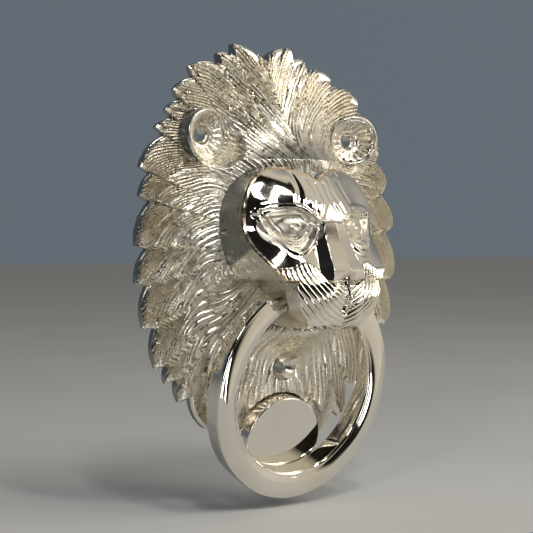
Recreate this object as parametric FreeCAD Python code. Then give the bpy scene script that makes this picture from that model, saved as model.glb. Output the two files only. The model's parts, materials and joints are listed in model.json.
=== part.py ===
import FreeCAD, Part
import math
import os

# Lion-mask door knocker, in millimetres. X is to the right, Z is up and the door is the plane
# Y = 0. The knocker reaches out of the door towards -Y, and "reach" below means that distance.
# The origin is midway between the two fixing holes in the ears, on the door.

# ---- driving dimensions -------------------------------------------------------------------
EAR_SPACING = 83.0          # between the two upper fixing holes
LOWER_HOLE_Z = -107.6
LOWER_CONE_HALF = 4.0       # half the height of the lower hole's countersink
LOWER_CONE_R = 8.2
FIXING_R = 2.75             # clears a No. 10 screw
COUNTERSINK_R = 5.2
SLAB = 5.0                  # thickness of the mane plate at its toothed edge

TOOTH_DEPTH = 5.0
TOOTH_BULGE = 0.12          # height of a tooth's long convex side, over its length
CROWN_NOTCH = (-7.0, 36.0)
LEFT_TIPS = ((-23, 43), (-31, 38), (-46, 31), (-54, 20), (-58, 11), (-63, 3), (-71, -15), (-71, -28),
             (-73, -50), (-73, -67), (-69, -87), (-63, -105), (-58, -112), (-51, -121), (-37, -134))
RIGHT_TIPS = ((10, 43), (17, 38), (33, 31), (51, 20), (60, 6), (64, -5), (68, -22), (72, -42), (72, -67),
              (68, -90), (44, -120), (39, -134), (25, -143))

MANE_SPAN = ((-80, 80), (-170, 50))
MANE_GRID = 8.0
MANE_CENTRE_Z = -52.0
MANE_HALF_WIDTH = 73.0
MANE_HALF_HEIGHT = 97.0
MANE_RISE = 10.0            # how much the mane's middle stands above its edge
CREST_RISE = 21.0           # extra height of the hair swept back from the brow
CREST_Z = -11.0
CREST_FALL = 14.0
CREST_SPREAD = 25.0
BEARD_RISE = 24.0
BEARD_Z = -88.0
BEARD_FALL = 9.0
BEARD_SPREAD = 15.0

EAR_R = 12.0
EAR_REACH = 15.5
EAR_FLOOR = 7.2
EAR_DISH_R = 9.6
EAR_INNER_LIP = 1.5         # lip on the face's side, above the ear's floor

BROW_NOTCH_Z = -20.6
BROW_SIDE = ((0, BROW_NOTCH_Z), (8, -16.2), (18, -14.6), (28, -18.8), (34.3, -28), (36, -39), (34.5, -51),
             (26.5, -65))
MUZZLE_HALF = 15.5          # flat sides that the ring's ends run against
CHEEK_FLOOR_Z = -65.0
CHIN_Z = -87.0
CHIN_R = 5.0
LIP_HALF = 22.0
LIP_BACK = 46.0             # reach of the back of the whisker pads
LIP_TOP_Z = -60.0
FACE_SPAN = ((-44, 44), (-92, -8))
FACE_GRID = 4.0
PROFILE = ((-8, 30), (-20, 39), (-29, 46), (-38, 52), (-45, 53.3), (-53, 58.5), (-60, 64.2), (-65, 61.5),
           (-69, 60.2), (-76, 60.4), (-82, 57.5), (-90, 50))
SIDE_FALL = ((0, 0), (6, 1), (11, 5), (17, 8.6), (27, 10), (35, 14.8), (42, 19))
MASK_WALL = 3.5
MASK_FRONT_WALL = 5.5
FLANGE_T = 2.5
FLANGE_CENTRE_Z = -42.0
FLANGE_HALF_WIDTH = 45.0
FLANGE_HALF_HEIGHT = 40.0
TONGUE_MARGIN = 8.0         # flange beside and under the muzzle
SEAT_GAP = 0.15

SCREW_PLACES = ((20.0, -9.3), (36.5, -58.0))
SCREW_R = 1.5
SCREW_HEAD_R = 2.8
SCREW_LENGTH = 9.0
SLOT_WIDTH = 0.28           # driver slot, over the head's radius
SLOT_DEPTH = 0.3

RING_LEAN = 13.3            # degrees; the ring's foot hangs nearer the door than its ends
PIVOT_REACH = 34.7
PIVOT_Z = -74.2
PIN_R = 2.0
PIN_CLEARANCE = 0.05
PIN_HEAD_R = 3.4
PIN_HEAD_T = 1.6
PIN_INNER_X = 6.8           # inner end of the bored boss inside the muzzle
PIN_TIP_X = 20.5
PIVOT_BOSS_R = 6.0
BORE_OVERRUN = 0.5          # the pin's bore is cut this far past the muzzle's wall
RING_END_X = 16.0
RING_EDGE = 3.65            # the ring's front edges stand this far in front of its pivot
RING_DEPTH = 9.7            # depth of the ring's side walls at its foot
RING_END_DEPTH = 7.3
RING_FULL_DEPTH_AT = 60.0   # the section has grown to its full depth this far below the pivot
CROWN_RISE = 2.8
CROWN_END_RISE = 0.8
RING_SECTIONS = 27
OUTER_SIDE = ((RING_END_X, 3.8), (22, 2.6), (27.5, 0.2), (36.2, -9), (42.8, -21), (45.7, -33),
              (46, -45), (44.3, -58), (39.2, -71), (30.2, -82.2), (16.5, -91.6), (0, -95))
INNER_SIDE = ((RING_END_X, -4.4), (19.5, -6.6), (23.2, -10.2), (28.6, -17.4), (33.2, -27),
              (35.7, -38), (35.6, -48), (32.2, -59.5), (25.6, -69.8), (14.8, -78.8), (0, -82.4))

STRIKER_R = 20.3
STRIKER_Z = -141.0
STRIKER_SEAT_R = 22.5       # round foot of the plate, around the striker
FOOT_TURN = 18.0            # degrees; the foot's arc ends this far off the level
RING_REST_GAP = 0.3
SPIGOT_R = 6.0
SPIGOT_DEPTH = 2.0
STRIKER_SCREW_R = 2.5
STRIKER_SCREW_HEAD_R = 4.8
STRIKER_SCREW_LENGTH = 9.5

FAR = 90.0                  # longer than any reach, for cutting tools


def at(x, reach, z):
    """A point x to the right, reach out of the door and z up."""
    return FreeCAD.Vector(x, -reach, z)


def blend(points, value):
    """Height along straight runs between (place, height) pairs, which may be in either order."""
    ordered = sorted(points)
    if value <= ordered[0][0]:
        return ordered[0][1]
    for (start, low), (end, high) in zip(ordered, ordered[1:]):
        if value <= end:
            return low + (high - low) * (value - start) / (end - start)
    return ordered[-1][1]


def line(a, b):
    return Part.LineSegment(a, b).toShape()


def prism(wire, start, end):
    """The solid that a flat outline in the door's plane sweeps between two reaches."""
    face = Part.Face(wire)
    face.translate(FreeCAD.Vector(0, -start, 0))
    return face.extrude(FreeCAD.Vector(0, start - end, 0))


def pillar(x, z, radius, start, end, top_radius=None):
    """A round pillar or cone that stands out of the door from one reach to another."""
    axis = FreeCAD.Vector(0, -1, 0)
    if top_radius is None:
        return Part.makeCylinder(radius, end - start, at(x, start, z), axis)
    return Part.makeCone(radius, top_radius, end - start, at(x, start, z), axis)


def under_surface(height, x_range, z_range, step):
    """Everything behind a smooth surface whose reach is height(x, z)."""
    columns = round((x_range[1] - x_range[0]) / step)
    rows = round((z_range[1] - z_range[0]) / step)
    grid = []
    for i in range(columns + 1):
        x = x_range[0] + (x_range[1] - x_range[0]) * i / columns
        zs = [z_range[0] + (z_range[1] - z_range[0]) * j / rows for j in range(rows + 1)]
        grid.append([at(x, height(x, z), z) for z in zs])
    surface = Part.BSplineSurface()
    surface.interpolate(grid)
    return surface.toShape().extrude(FreeCAD.Vector(0, FAR, 0))


# ---- the mane plate -----------------------------------------------------------------------
def mane_height(x, z):
    """Reach of the mane's combed surface."""
    spread = (x / MANE_HALF_WIDTH) ** 2 + ((z - MANE_CENTRE_Z) / MANE_HALF_HEIGHT) ** 2
    body = SLAB + MANE_RISE * (1 - min(spread, 1.0))
    behind_brow = max(z - CREST_Z, 0)
    crest = CREST_RISE * math.exp(-behind_brow / CREST_FALL - (x / CREST_SPREAD) ** 2)
    if z < CREST_Z:
        crest *= math.exp(-((z - CREST_Z) / CREST_SPREAD) ** 2)
    beard = BEARD_RISE * math.exp(-((z - BEARD_Z) / BEARD_FALL) ** 2 - (x / BEARD_SPREAD) ** 2)
    return body + crest + beard


def tooth_root(tip, next_tip):
    """Foot of the short step behind a tooth's tip."""
    towards = FreeCAD.Vector(-tip.x, 0, 0.6 * (MANE_CENTRE_Z - tip.z)).normalize()
    along = (next_tip - tip).normalize()
    return tip + towards * TOOTH_DEPTH + along * (TOOTH_DEPTH / 3)


def bulged(start, end, side):
    """A convex arc, bulging to the outside of the plate."""
    chord = end - start
    outward = FreeCAD.Vector(-chord.z, 0, chord.x) * side * TOOTH_BULGE
    return Part.Arc(start, (start + end) * 0.5 + outward, end).toShape()


def side_edges(tips, side, foot):
    """One side of the saw-toothed outline, from the notch at the top down to the foot."""
    tips = [at(x, 0, z) for x, z in tips]
    edges = [bulged(at(CROWN_NOTCH[0], 0, CROWN_NOTCH[1]), tips[0], side)]
    for tip, next_tip in zip(tips, tips[1:]):
        root = tooth_root(tip, next_tip)
        edges.append(line(tip, root))
        edges.append(bulged(root, next_tip, side))
    edges.append(line(tips[-1], foot))
    return edges


def plate_outline():
    """The toothed outline, with a round foot about the striker."""
    across = STRIKER_SEAT_R * math.cos(math.radians(FOOT_TURN))
    rise = STRIKER_SEAT_R * math.sin(math.radians(FOOT_TURN))
    left_foot = at(-across, 0, STRIKER_Z + rise)
    right_foot = at(across, 0, STRIKER_Z - rise)
    foot = Part.Arc(left_foot, at(0, 0, STRIKER_Z - STRIKER_SEAT_R), right_foot).toShape()
    edges = side_edges(LEFT_TIPS, -1, left_foot) + side_edges(RIGHT_TIPS, 1, right_foot) + [foot]
    return Part.Wire(Part.__sortEdges__(edges))


def ear(side):
    """A round ear cup, its outer lip higher than its inner one."""
    x = side * EAR_SPACING / 2
    cup = pillar(x, 0, EAR_R, 0, EAR_REACH)
    low, high = EAR_FLOOR + EAR_INNER_LIP, EAR_REACH
    lip = Part.makePolygon([at(x - side * EAR_R, low, -FAR), at(x + side * EAR_R * 0.5, high, -FAR),
                            at(x + side * EAR_R * 2, high, -FAR), at(x + side * EAR_R * 2, FAR, -FAR),
                            at(x - side * EAR_R * 2, FAR, -FAR), at(x - side * EAR_R * 2, low, -FAR),
                            at(x - side * EAR_R, low, -FAR)])
    cup = cup.cut(Part.Face(lip).extrude(FreeCAD.Vector(0, 0, 2 * FAR)))
    dish = pillar(x, 0, COUNTERSINK_R, EAR_FLOOR, EAR_REACH + 1, EAR_DISH_R)
    return cup, dish


def build_mane_plate():
    slab = prism(plate_outline(), 0, FAR / 2)
    plate = slab.common(under_surface(mane_height, *MANE_SPAN, MANE_GRID))
    for side in (-1, 1):
        cup, dish = ear(side)
        plate = plate.fuse(cup).cut(dish)
        plate = plate.cut(pillar(side * EAR_SPACING / 2, 0, FIXING_R, -1, FAR))
    hole_rim = mane_height(0, LOWER_HOLE_Z)
    plate = plate.cut(pillar(0, LOWER_HOLE_Z, FIXING_R, -1, FAR))
    low, high = hole_rim - LOWER_CONE_HALF, hole_rim + LOWER_CONE_HALF
    plate = plate.cut(pillar(0, LOWER_HOLE_Z, FIXING_R, low, high, LOWER_CONE_R))
    plate = plate.cut(prism(mask_outline(SEAT_GAP), -1, FAR))
    plate = plate.cut(flange(SEAT_GAP, -1, FLANGE_T))
    for x, z in screw_places():
        plate = plate.cut(pillar(x, z, SCREW_R, 0, SCREW_LENGTH))
    plate = plate.cut(striker_barrel(SEAT_GAP))
    plate = plate.cut(pillar(0, STRIKER_Z, SPIGOT_R, SLAB - SPIGOT_DEPTH, SLAB))
    plate = plate.cut(pillar(0, STRIKER_Z, STRIKER_SCREW_R, -1, SLAB))
    return plate.cut(screw_head(0, STRIKER_Z, STRIKER_SCREW_R, STRIKER_SCREW_HEAD_R))


# ---- the face mask ------------------------------------------------------------------------
def face_height(x, z):
    """Reach of the lion's face: its profile in the middle, falling away to the sides."""
    return blend(PROFILE, z) - blend(SIDE_FALL, abs(x))


def grown_side(grow):
    """The brow and cheek line, moved outwards by the given amount."""
    last = len(BROW_SIDE) - 1
    points = []
    for i, (x, z) in enumerate(BROW_SIDE):
        before, after = BROW_SIDE[max(i - 1, 0)], BROW_SIDE[min(i + 1, last)]
        outward = FreeCAD.Vector(before[1] - after[1], 0, after[0] - before[0]).normalize() * grow
        points.append(FreeCAD.Vector(x + outward.x, 0, z + outward.z))
    points[0] = at(0, 0, BROW_NOTCH_Z + grow * 1.2)
    points[last] = at(BROW_SIDE[last][0] + grow, 0, CHEEK_FLOOR_Z - grow)
    return points


def mask_outline(grow=0.0):
    """Outline of the face: two brow domes, cheeks and the straight-sided muzzle."""
    half = MUZZLE_HALF + grow
    edges = []
    for side in (-1, 1):
        points = [at(side * point.x, 0, point.z) for point in grown_side(grow)]
        brow = Part.BSplineCurve()
        brow.interpolate(points)
        corner = at(side * half, 0, CHEEK_FLOOR_Z - grow)
        jaw = at(side * half, 0, CHIN_Z + CHIN_R)
        chin = at(side * (MUZZLE_HALF - CHIN_R), 0, CHIN_Z - grow)
        bend_centre = at(side * (MUZZLE_HALF - CHIN_R), 0, CHIN_Z + CHIN_R)
        bend = bend_centre + at(side, 0, -1) * ((CHIN_R + grow) * math.sqrt(0.5))
        edges += [brow.toShape(), line(points[-1], corner), line(corner, jaw)]
        edges.append(Part.Arc(jaw, bend, chin).toShape())
    edges.append(line(at(CHIN_R - MUZZLE_HALF, 0, CHIN_Z - grow), at(MUZZLE_HALF - CHIN_R, 0, CHIN_Z - grow)))
    return Part.Wire(Part.__sortEdges__(edges))


def flange(grow, start, end):
    """The flat flange behind the face: an oval about the brow and cheeks, with a tongue below."""
    middle = at(0, 0, FLANGE_CENTRE_Z)
    side = at(FLANGE_HALF_WIDTH + grow, 0, FLANGE_CENTRE_Z)
    oval = Part.Ellipse(side, middle + at(0, 0, FLANGE_HALF_HEIGHT + grow), middle).toShape()
    tongue_half = MUZZLE_HALF + TONGUE_MARGIN + grow
    tongue_bottom = CHIN_Z - TONGUE_MARGIN - grow
    tongue = Part.makeBox(2 * tongue_half, end - start, FLANGE_CENTRE_Z - tongue_bottom,
                          at(-tongue_half, end, tongue_bottom))
    return prism(Part.Wire([oval]), start, end).fuse(tongue)


def lip_block():
    """The whisker pads, which stand out past the muzzle's sides in front of the ring's ends."""
    half_height = (LIP_TOP_Z - CHIN_Z) / 2
    middle = at(0, 0, CHIN_Z + half_height)
    oval = Part.Ellipse(at(LIP_HALF, 0, middle.z), at(0, 0, middle.z + half_height), middle).toShape()
    return prism(Part.Wire([oval]), LIP_BACK, FAR)


def build_face_mask():
    front = under_surface(face_height, *FACE_SPAN, FACE_GRID)
    skull = prism(mask_outline(), 0, FAR).fuse(lip_block()).common(front)
    inside = front.copy()
    inside.translate(FreeCAD.Vector(0, MASK_FRONT_WALL, 0))
    hollow = prism(mask_outline(-MASK_WALL), -1, FAR).common(inside)
    mask = skull.cut(hollow)
    mask = mask.fuse(flange(0, 0, FLANGE_T).cut(prism(mask_outline(-MASK_WALL), -1, FAR)))
    for side in (-1, 1):
        root = at(side * PIN_INNER_X, PIVOT_REACH, PIVOT_Z)
        outwards = FreeCAD.Vector(side, 0, 0)
        wall = MUZZLE_HALF - PIN_INNER_X
        mask = mask.fuse(Part.makeCylinder(PIVOT_BOSS_R, wall, root, outwards))
        mask = mask.cut(Part.makeCylinder(PIN_R + PIN_CLEARANCE, wall + BORE_OVERRUN, root, outwards))
    for x, z in screw_places():
        mask = mask.cut(screw(x, z, SCREW_R, SCREW_HEAD_R, SCREW_LENGTH))
    return mask


# ---- screws -------------------------------------------------------------------------------
def screw_places():
    return [(side * x, z) for side in (-1, 1) for x, z in SCREW_PLACES]


def screw_head(x, z, radius, head_radius):
    """A countersunk head whose top is flush with the door side."""
    return pillar(x, z, head_radius, 0, head_radius - radius, radius)


def screw(x, z, radius, head_radius, length):
    return screw_head(x, z, radius, head_radius).fuse(pillar(x, z, radius, 0, length))


def build_mask_screws():
    screws = [screw(x, z, SCREW_R, SCREW_HEAD_R, SCREW_LENGTH) for x, z in screw_places()]
    slots = [driver_slot(x, z, SCREW_HEAD_R) for x, z in screw_places()]
    return Part.makeCompound([body.cut(slot) for body, slot in zip(screws, slots)])


def driver_slot(x, z, head_radius):
    """The straight slot across a screw's head."""
    width = head_radius * SLOT_WIDTH
    depth = head_radius * SLOT_DEPTH
    return Part.makeBox(3 * head_radius, depth, width, at(x - 1.5 * head_radius, depth, z - width / 2))


def build_striker_screw():
    body = screw(0, STRIKER_Z, STRIKER_SCREW_R, STRIKER_SCREW_HEAD_R, STRIKER_SCREW_LENGTH)
    return body.cut(driver_slot(0, STRIKER_Z, STRIKER_SCREW_HEAD_R))


# ---- the ring, its pins and the striker ----------------------------------------------------
def ring_point(x, along, out):
    """A point of the hanging ring: along its plane from the pivot (up is +) and out of it."""
    lean = math.radians(RING_LEAN)
    reach = PIVOT_REACH + along * math.sin(lean) + out * math.cos(lean)
    return at(x, reach, PIVOT_Z + along * math.cos(lean) - out * math.sin(lean))


def ring_section(outer, inner):
    """One D-shaped section: a flat back, two straight walls and a crowned front."""
    share = min(max(-outer.y / RING_FULL_DEPTH_AT, 0.0), 1.0)
    depth = RING_END_DEPTH + (RING_DEPTH - RING_END_DEPTH) * share
    crown = CROWN_END_RISE + (CROWN_RISE - CROWN_END_RISE) * share
    corners = [ring_point(edge.x, edge.y, RING_EDGE - behind) for edge, behind in
               ((outer, 0), (inner, 0), (inner, depth), (outer, depth))]
    middle = (outer + inner) * 0.5
    top = ring_point(middle.x, middle.y, RING_EDGE + crown)
    edges = [Part.Arc(corners[0], top, corners[1]).toShape()]
    edges += [line(corners[i], corners[(i + 1) % 4]) for i in (1, 2, 3)]
    return Part.Wire(edges)


def ring_edge(side):
    """Evenly spaced points of the ring's outer or inner edge, from one end round to the other."""
    right = [FreeCAD.Vector(x, along, 0) for x, along in side]
    left = [FreeCAD.Vector(-point.x, point.y, 0) for point in right[:-1]]
    curve = Part.BSplineCurve()
    curve.interpolate(left + right[::-1])
    return curve.discretize(Number=RING_SECTIONS)


def build_ring():
    edges = zip(ring_edge(OUTER_SIDE), ring_edge(INNER_SIDE))
    ring = Part.makeLoft([ring_section(outer, inner) for outer, inner in edges], True, False)
    for side in (-1, 1):
        ring = ring.cut(pin_shank(side))
    return ring


def pin_shank(side):
    root = at(side * PIN_INNER_X, PIVOT_REACH, PIVOT_Z)
    return Part.makeCylinder(PIN_R, PIN_TIP_X - PIN_INNER_X, root, FreeCAD.Vector(side, 0, 0))


def build_pivot_pins():
    """Two headed pins, pushed from inside the muzzle and pressed into the ring's ends."""
    pins = []
    for side in (-1, 1):
        start = PIN_INNER_X - PIN_CLEARANCE
        root = at(side * start, PIVOT_REACH, PIVOT_Z)
        head = Part.makeCylinder(PIN_HEAD_R, PIN_HEAD_T, root, FreeCAD.Vector(-side, 0, 0))
        link = Part.makeCylinder(PIN_R, 2 * PIN_CLEARANCE, root, FreeCAD.Vector(side, 0, 0))
        pins.append(head.fuse([link, pin_shank(side)]).removeSplitter())
    return Part.makeCompound(pins)


def striker_face():
    """Centre of the striker's face and the direction that it looks, parallel to the ring."""
    lean = math.radians(RING_LEAN)
    back = RING_EDGE - RING_DEPTH - RING_REST_GAP
    along = (STRIKER_Z - PIVOT_Z + back * math.sin(lean)) / math.cos(lean)
    return ring_point(0, along, back), FreeCAD.Vector(0, -math.cos(lean), -math.sin(lean))


def striker_barrel(grow=0.0):
    """The tilted round body of the striker, above the plate's slab."""
    centre, looks = striker_face()
    barrel = Part.makeCylinder(STRIKER_R + grow, FAR, centre - looks * (FAR - 0.01 * grow), looks)
    keep = pillar(0, STRIKER_Z, 3 * STRIKER_R, SLAB, FAR)
    return barrel.common(keep)


def build_striker():
    spigot = pillar(0, STRIKER_Z, SPIGOT_R, SLAB - SPIGOT_DEPTH, SLAB + 1)
    stud = striker_barrel().fuse(spigot).removeSplitter()
    return stud.cut(pillar(0, STRIKER_Z, STRIKER_SCREW_R, 0, STRIKER_SCREW_LENGTH))


def main():
    os.makedirs("parts", exist_ok=True)
    nodes = {
        "mane_plate": build_mane_plate(),
        "face_mask": build_face_mask(),
        "mask_screws": build_mask_screws(),
        "striker_stud": build_striker(),
        "striker_screw": build_striker_screw(),
        "knocker_ring": build_ring(),
        "pivot_pins": build_pivot_pins(),
    }
    for name, shape in nodes.items():
        shape.exportStep("parts/" + name + ".step")
        box = shape.optimalBoundingBox()
        print(name, shape.isValid(), len(shape.Solids), round(shape.Volume / 1000, 2), "cm3",
              [round(v, 1) for v in (box.XMin, box.XMax, box.YMin, box.YMax, box.ZMin, box.ZMax)])


main()
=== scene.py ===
"""A cast lion-mask door knocker: the mane casting, the polished face, the swinging ring and its striker.

Shapes are worked out in millimetres with x to the right, z up and "reach" out of the door, and become
metres with Y = -reach when a mesh is made. The door is the plane reach = 0.
"""
import json
import math

import bpy
import numpy as np
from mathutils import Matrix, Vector
from mathutils.bvhtree import BVHTree


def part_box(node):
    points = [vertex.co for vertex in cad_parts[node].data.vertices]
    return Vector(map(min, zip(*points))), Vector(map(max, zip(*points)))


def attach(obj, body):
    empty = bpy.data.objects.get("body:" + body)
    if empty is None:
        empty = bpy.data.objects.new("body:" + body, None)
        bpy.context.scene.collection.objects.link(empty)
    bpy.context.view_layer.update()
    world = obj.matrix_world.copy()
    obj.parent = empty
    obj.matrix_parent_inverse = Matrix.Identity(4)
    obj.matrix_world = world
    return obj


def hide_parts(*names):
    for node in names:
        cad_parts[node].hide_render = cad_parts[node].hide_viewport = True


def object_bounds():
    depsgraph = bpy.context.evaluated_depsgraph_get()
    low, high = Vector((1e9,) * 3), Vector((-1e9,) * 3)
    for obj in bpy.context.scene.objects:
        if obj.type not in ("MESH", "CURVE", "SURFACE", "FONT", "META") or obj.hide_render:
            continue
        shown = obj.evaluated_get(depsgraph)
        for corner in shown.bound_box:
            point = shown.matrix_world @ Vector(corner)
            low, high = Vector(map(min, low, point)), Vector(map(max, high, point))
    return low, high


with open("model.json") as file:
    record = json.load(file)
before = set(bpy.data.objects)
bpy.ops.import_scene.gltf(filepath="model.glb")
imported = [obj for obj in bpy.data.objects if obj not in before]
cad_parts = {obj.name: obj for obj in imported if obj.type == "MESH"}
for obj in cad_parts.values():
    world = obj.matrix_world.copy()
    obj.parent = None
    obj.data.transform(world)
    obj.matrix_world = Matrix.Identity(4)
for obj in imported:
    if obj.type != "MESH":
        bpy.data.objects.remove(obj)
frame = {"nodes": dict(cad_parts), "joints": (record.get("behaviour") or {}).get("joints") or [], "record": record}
cad_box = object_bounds()

MM = 0.001
RANDOM = np.random.default_rng(7)

# ---- places taken from the frame -----------------------------------------------------------
CENTRE_Z = -50.0                     # middle of the polar grids of the mane and the face
record = frame["record"]
ear_mount = next(m for m in record["mounts"] if m["name"] == "upper_fixings")
hole_mount = next(m for m in record["mounts"] if m["name"] == "lower_fixing")
EAR_X = ear_mount["dims"]["spacing_x_mm"] / 2
FIXING_R = ear_mount["dims"]["hole_r_mm"]
LOWER_HOLE_Z = hole_mount["pos_m"][2] / MM
pivot = frame["joints"][0]["pos_m"]
PIVOT_REACH = -pivot[1] / MM
PIVOT_Z = pivot[2] / MM
PIN_TIP_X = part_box("pivot_pins")[1].x / MM
striker_low, striker_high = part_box("striker_screw")
STRIKER_Z = (striker_low.z + striker_high.z) / 2 / MM

PIN_SHOULDER_X = 6.8                 # inner end of the bored bosses inside the muzzle
SEAT_GAP = 0.15                      # between the face and the mane that it sits in


# ---- small helpers -------------------------------------------------------------------------
def smooth(stations, values, at):
    """Cubic curve through the values at increasing stations; values may hold one row per station."""
    stations = np.asarray(stations, float)
    values = np.asarray(values, float)
    slopes = np.gradient(values, stations, axis=0)
    i = np.clip(np.searchsorted(stations, at) - 1, 0, len(stations) - 2)
    width = stations[i + 1] - stations[i]
    t = np.clip((at - stations[i]) / width, 0, 1)
    here = i if values.ndim == 1 else (i, np.arange(values.shape[1]))
    after = i + 1 if values.ndim == 1 else (i + 1, np.arange(values.shape[1]))
    start = values[here] + (values[after] - values[here]) * (3 * t * t - 2 * t ** 3)
    return start + width * (slopes[here] * (t - 2 * t * t + t ** 3) + slopes[after] * (t ** 3 - t * t))


def step(low, high, value):
    """Rises smoothly from 0 at low to 1 at high."""
    t = np.clip((value - low) / (high - low), 0, 1)
    return t * t * (3 - 2 * t)


def along(points, count=60):
    """A smooth line through a few points, as count points."""
    points = np.asarray(points, float)
    place = np.arange(len(points))
    fine = np.linspace(0, len(points) - 1, count)
    return np.stack([smooth(place, points[:, 0], fine), smooth(place, points[:, 1], fine)], axis=1)


def distance(x, z, points):
    """Distance from each (x, z) to a smooth line, and on which side of it the point is."""
    path = along(points)
    start, run = path[:-1], np.diff(path, axis=0)
    near = np.full(x.shape, 1e9)
    sign = np.zeros(x.shape)
    for (px, pz), (dx, dz) in zip(start, run):
        t = np.clip(((x - px) * dx + (z - pz) * dz) / (dx * dx + dz * dz), 0, 1)
        gap = np.hypot(x - px - t * dx, z - pz - t * dz)
        closer = gap < near
        near = np.where(closer, gap, near)
        sign = np.where(closer, np.sign((x - px) * dz - (z - pz) * dx), sign)
    return near, sign


def hump(value, width):
    """A bell of height 1."""
    return np.exp(-(value / width) ** 2)


def value_noise(seed, shape, cells):
    """Smooth random values from -1 to 1 over a grid; cells are the number of cells each way."""
    random = np.random.default_rng(seed)
    coarse = random.uniform(-1, 1, (cells[0] + 1, cells[1] + 1))
    coarse[:, -1] = coarse[:, 0]
    rows = np.linspace(0, cells[0] - 1e-6, shape[0])
    columns = np.linspace(0, cells[1] - 1e-6, shape[1])
    i, j = rows.astype(int), columns.astype(int)
    u, v = (rows - i)[:, None], (columns - j)[None, :]
    u, v = u * u * (3 - 2 * u), v * v * (3 - 2 * v)
    low = coarse[i][:, j] * (1 - v) + coarse[i][:, j + 1] * v
    high = coarse[i + 1][:, j] * (1 - v) + coarse[i + 1][:, j + 1] * v
    return low * (1 - u) + high * u


def make_piece(name, points, faces, material, crease=35):
    """A mesh object from points (x, reach, z) in millimetres."""
    mesh = bpy.data.meshes.new(name)
    points = np.asarray(points, float).reshape(-1, 3)
    place = np.stack([points[:, 0], -points[:, 1], points[:, 2]], axis=1) * MM
    mesh.from_pydata(place.tolist(), [], faces)
    mesh.validate()
    mesh.shade_smooth()
    mesh.set_sharp_from_angle(angle=math.radians(crease))
    piece = bpy.data.objects.new(name, mesh)
    bpy.context.scene.collection.objects.link(piece)
    mesh.materials.append(material)
    return piece


def grid_faces(rows, columns, close_rows=False):
    """Quads of a grid whose columns go round; close_rows joins the last row to the first."""
    row = np.arange(rows if close_rows else rows - 1)[:, None]
    column = np.arange(columns)[None, :]
    here = row * columns
    over = (row + 1) % rows * columns
    right = (column + 1) % columns
    quads = np.stack([here + column, here + right, over + right, over + column], axis=-1)
    return quads.reshape(-1, 4).tolist()


def carve(piece, tools, operation):
    """Joins the closed tool meshes to a piece or cuts them out of it, and removes them."""
    for tool in tools:
        modifier = piece.modifiers.new("carve", "BOOLEAN")
        modifier.operation = operation
        modifier.solver = "MANIFOLD"
        modifier.object = tool
        applied = bpy.data.meshes.new_from_object(piece.evaluated_get(bpy.context.evaluated_depsgraph_get()))
        piece.modifiers.clear()
        piece.data = applied
        bpy.data.objects.remove(tool)
    piece.data.shade_smooth()
    piece.data.set_sharp_from_angle(angle=math.radians(35))


def turned(name, centre, axis, profile, material, columns=96):
    """A closed solid turned about an axis through centre; profile lists (radius, distance along it)."""
    axis = np.asarray(axis, float) / np.linalg.norm(axis)
    side = np.cross(axis, (0, 0, 1) if abs(axis[2]) < 0.9 else (1, 0, 0))
    side /= np.linalg.norm(side)
    up = np.cross(axis, side)
    turn = np.linspace(0, 2 * math.pi, columns, endpoint=False)
    ring = np.cos(turn)[:, None] * side + np.sin(turn)[:, None] * up
    points = [np.asarray(centre, float) + axis * place + ring * radius for radius, place in profile]
    points = np.concatenate(points)
    ends = [np.asarray(centre, float) + axis * profile[0][1],
            np.asarray(centre, float) + axis * profile[-1][1]]
    faces = grid_faces(len(profile), columns)
    bottom, top = len(points), len(points) + 1
    last = (len(profile) - 1) * columns
    for j in range(columns):
        k = (j + 1) % columns
        faces.append((bottom, k, j))
        faces.append((top, last + j, last + k))
    piece = make_piece(name, np.concatenate([points, ends]), faces, material)
    return outward(piece)


def outward(piece):
    """Turns all faces of a closed mesh to the outside."""
    mesh = piece.data
    count = len(mesh.vertices)
    co = np.zeros(count * 3)
    mesh.vertices.foreach_get("co", co)
    co = co.reshape(-1, 3)
    mesh.calc_loop_triangles()
    corners = np.zeros(len(mesh.loop_triangles) * 3, int)
    mesh.loop_triangles.foreach_get("vertices", corners)
    a, b, c = (co[corners.reshape(-1, 3)[:, k]] for k in range(3))
    if np.einsum("ij,ij->i", a, np.cross(b, c)).sum() < 0:
        mesh.flip_normals()
    return piece


# ---- materials -----------------------------------------------------------------------------
def new_material(name):
    material = bpy.data.materials.new(name)
    material.use_nodes = True
    return material, material.node_tree.nodes, material.node_tree.links


def node(nodes, kind, **values):
    made = nodes.new(kind)
    for key, value in values.items():
        if hasattr(made, key):
            setattr(made, key, value)
        else:
            made.inputs[key.replace("_", " ")].default_value = value
    return made


def ramp(nodes, links, source, stops):
    """A colour ramp on a value; stops are (place, colour or grey)."""
    made = nodes.new("ShaderNodeValToRGB")
    elements = made.color_ramp.elements
    elements.remove(elements[1])
    for place, colour in stops:
        element = elements[0] if place == stops[0][0] else elements.new(place)
        element.position = place
        element.color = (*colour, 1) if isinstance(colour, tuple) else (colour, colour, colour, 1)
    links.new(source, made.inputs["Fac"])
    return made.outputs["Color"]


def noise(nodes, links, scale, detail=2.0, stretch=None):
    coordinates = nodes.new("ShaderNodeTexCoord")
    source = coordinates.outputs["Object"]
    if stretch:
        mapping = node(nodes, "ShaderNodeMapping")
        mapping.inputs["Scale"].default_value = stretch
        links.new(source, mapping.inputs["Vector"])
        source = mapping.outputs["Vector"]
    made = node(nodes, "ShaderNodeTexNoise", Scale=scale, Detail=detail)
    links.new(source, made.inputs["Vector"])
    return made.outputs["Fac"]


def bump(nodes, links, height, strength, depth, below=None):
    made = node(nodes, "ShaderNodeBump", Strength=strength, Distance=depth)
    links.new(height, made.inputs["Height"])
    if below:
        links.new(below, made.inputs["Normal"])
    return made.outputs["Normal"]


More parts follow.
